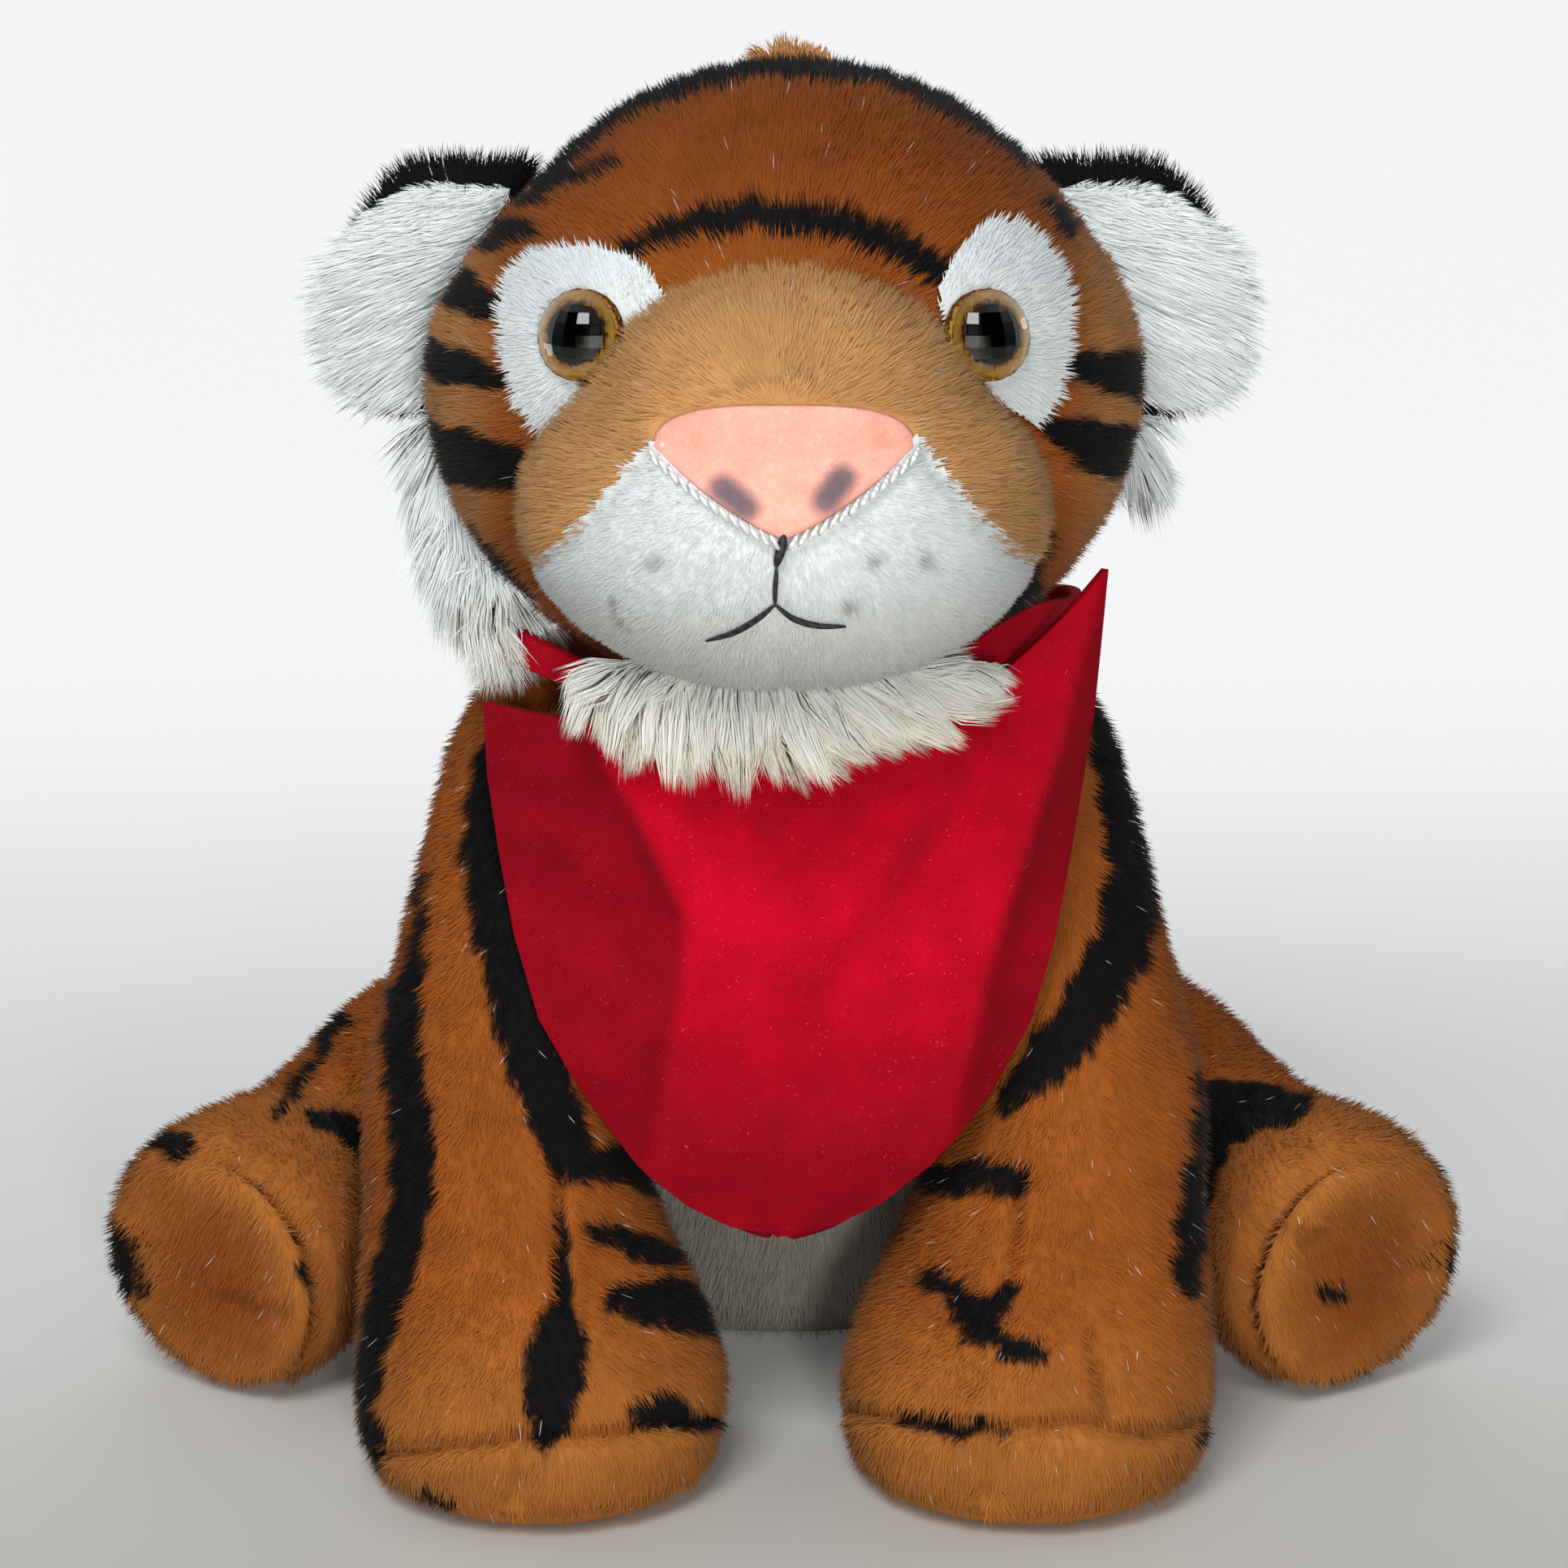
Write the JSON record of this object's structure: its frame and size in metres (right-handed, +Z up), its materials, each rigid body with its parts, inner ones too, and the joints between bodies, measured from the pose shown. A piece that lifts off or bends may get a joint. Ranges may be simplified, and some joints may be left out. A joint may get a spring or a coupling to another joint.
{
  "type": "plush tiger",
  "caption": "Sitting plush tiger with striped fur, white muzzle and eye patches, amber safety eyes, shaggy ruff and a red felt bib; head, ears, legs, tail and bib move",
  "frame": {"origin": "middle of the toy's footprint, on the surface it sits on", "axes": "+Z up, the face looks along -Y, +X is the viewer's right as seen from the front"},
  "size_m": [0.1906, 0.1602, 0.1885],
  "materials": {
    "orange_fur": "short plush pile, orange brown with black stripes",
    "tan_fur": "short plush pile, golden tan",
    "white_fur": "plush pile, cool white",
    "cream_fur": "long shaggy pile, cream",
    "black_fur": "short plush pile, black",
    "sole_fur": "short plush pile, light brown",
    "nose_felt": "smooth brushed cloth, pink",
    "red_felt": "pressed felt, red",
    "amber_plastic": "amber plastic with a moulded ring",
    "clear_plastic": "clear plastic dome over a black pupil",
    "washer_plastic": "white moulded lock washer",
    "filling": "loose polyester fibre",
    "bag_cloth": "woven bag of plastic beans"
  },
  "bodies": {
    "torso": {"torso_skin": "orange_fur", "torso_filling": "filling", "seat_bean_bag": "bag_cloth", "belly_panel": "white_fur", "bib_band": "red_felt"},
    "neck": {"neck_plug": "filling"},
    "head": {"head_skin": "orange_fur", "head_filling": "filling", "snout_panel": "tan_fur", "muzzle_left": "white_fur", "muzzle_right": "white_fur", "nose_pad": "nose_felt", "chin_ruff": "cream_fur", "eye_patch_left": "white_fur", "eye_iris_left": "amber_plastic", "eye_dome_left": "clear_plastic", "eye_washer_left": "washer_plastic", "cheek_ruff_left": "cream_fur", "eye_patch_right": "white_fur", "eye_iris_right": "amber_plastic", "eye_dome_right": "clear_plastic", "eye_washer_right": "washer_plastic", "cheek_ruff_right": "cream_fur"},
    "bib": {"bib": "red_felt"},
    "tail": {"tail": "orange_fur", "tail_tip": "black_fur"},
    "ear_left": {"ear_back_left": "black_fur", "ear_lining_left": "white_fur"},
    "foreleg_left": {"foreleg_left": "orange_fur", "foreleg_sole_left": "sole_fur", "foreleg_bean_bag_left": "bag_cloth"},
    "hind_leg_left": {"hind_leg_left": "orange_fur", "hind_sole_left": "sole_fur"},
    "ear_right": {"ear_back_right": "black_fur", "ear_lining_right": "white_fur"},
    "foreleg_right": {"foreleg_right": "orange_fur", "foreleg_sole_right": "sole_fur", "foreleg_bean_bag_right": "bag_cloth"},
    "hind_leg_right": {"hind_leg_right": "orange_fur", "hind_sole_right": "sole_fur"}
  },
  "joints": [
    {"name": "head_turn", "type": "hinge", "parent": "torso", "child": "neck", "pos_m": [0, 0, 0.13], "axis": [0, 0, 1], "range_deg": [-20, 20], "stiffness_Nm_per_rad": 0.4},
    {"name": "head_nod", "type": "hinge", "parent": "neck", "child": "head", "pos_m": [0, 0, 0.13], "axis": [-1, 0, 0], "range_deg": [-4, 15], "stiffness_Nm_per_rad": 0.8},
    {"name": "bib_lift", "type": "hinge", "parent": "torso", "child": "bib", "pos_m": [0, -0.0431, 0.104], "axis": [-1, 0, 0], "range_deg": [0, 50], "stiffness_Nm_per_rad": 0.02},
    {"name": "ear_fold_left", "type": "hinge", "parent": "head", "child": "ear_left", "pos_m": [-0.0436, 0.005, 0.154], "axis": [-0.1736, 0, -0.9848], "range_deg": [0, 50], "stiffness_Nm_per_rad": 0.01},
    {"name": "foreleg_splay_left", "type": "hinge", "parent": "torso", "child": "foreleg_left", "pos_m": [-0.036, -0.002, 0.092], "axis": [0, 1, 0], "range_deg": [0, 10], "stiffness_Nm_per_rad": 0.4},
    {"name": "hind_leg_swing_left", "type": "hinge", "parent": "torso", "child": "hind_leg_left", "pos_m": [-0.046, 0.028, 0.0245], "axis": [0, 0, -1], "range_deg": [0, 45], "stiffness_Nm_per_rad": 0.3},
    {"name": "ear_fold_right", "type": "hinge", "parent": "head", "child": "ear_right", "pos_m": [0.0436, 0.005, 0.154], "axis": [-0.1736, 0, 0.9848], "range_deg": [0, 50], "stiffness_Nm_per_rad": 0.01},
    {"name": "foreleg_splay_right", "type": "hinge", "parent": "torso", "child": "foreleg_right", "pos_m": [0.036, -0.002, 0.092], "axis": [0, -1, 0], "range_deg": [0, 10], "stiffness_Nm_per_rad": 0.4},
    {"name": "hind_leg_swing_right", "type": "hinge", "parent": "torso", "child": "hind_leg_right", "pos_m": [0.046, 0.028, 0.0245], "axis": [0, 0, 1], "range_deg": [0, 45], "stiffness_Nm_per_rad": 0.3},
    {"name": "tail_swing", "type": "hinge", "parent": "torso", "child": "tail", "pos_m": [0, 0.056, 0.0075], "axis": [0, 0, 1], "range_deg": [-8, 40], "stiffness_Nm_per_rad": 0.02}
  ]
}
